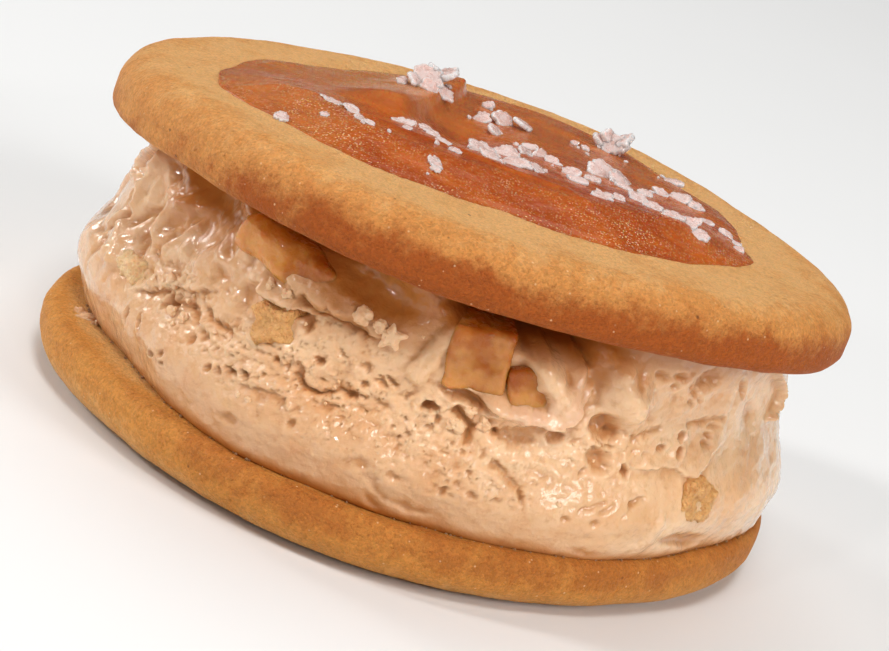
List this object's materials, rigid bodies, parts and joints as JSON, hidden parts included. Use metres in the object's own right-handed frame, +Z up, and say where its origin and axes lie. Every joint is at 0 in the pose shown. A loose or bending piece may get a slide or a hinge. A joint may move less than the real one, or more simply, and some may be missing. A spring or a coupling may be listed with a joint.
{
  "type": "ice cream sandwich",
  "caption": "Ice cream sandwich: thick ice cream with caramel and biscuit pieces between two round butter cookies, with a salted caramel pool on top.",
  "frame": {"origin": "middle of the sandwich's outline seen from above, on the surface that it stands on", "axes": "+Z up through the cookies, -Y towards the front with the caramel cube, +X to the right of it"},
  "size_m": [0.0866, 0.0882, 0.0404],
  "materials": {
    "baked_cookie": "fine sandy baked surface, pale gold with browned rim",
    "flipped_cookie": "fine sandy baked surface, browner at its tray side",
    "ice_cream": "wet, translucent, peachy beige",
    "caramel": "soft sheen, translucent amber brown",
    "biscuit": "crumbly, rough",
    "pale_biscuit": "crumbly, moist"
  },
  "bodies": {
    "root": {"cookie_bottom": "flipped_cookie", "ice_cream": "ice_cream", "cookie_top": "baked_cookie", "caramel_top": "caramel", "caramel_cube": "caramel", "caramel_slab": "caramel", "caramel_nugget": "caramel", "caramel_back_1": "caramel", "caramel_back_2": "caramel", "caramel_back_3": "caramel", "biscuit_left": "biscuit", "biscuit_right": "biscuit", "biscuit_pale": "pale_biscuit", "biscuit_back_1": "biscuit", "biscuit_back_2": "biscuit"}
  },
  "joints": []
}
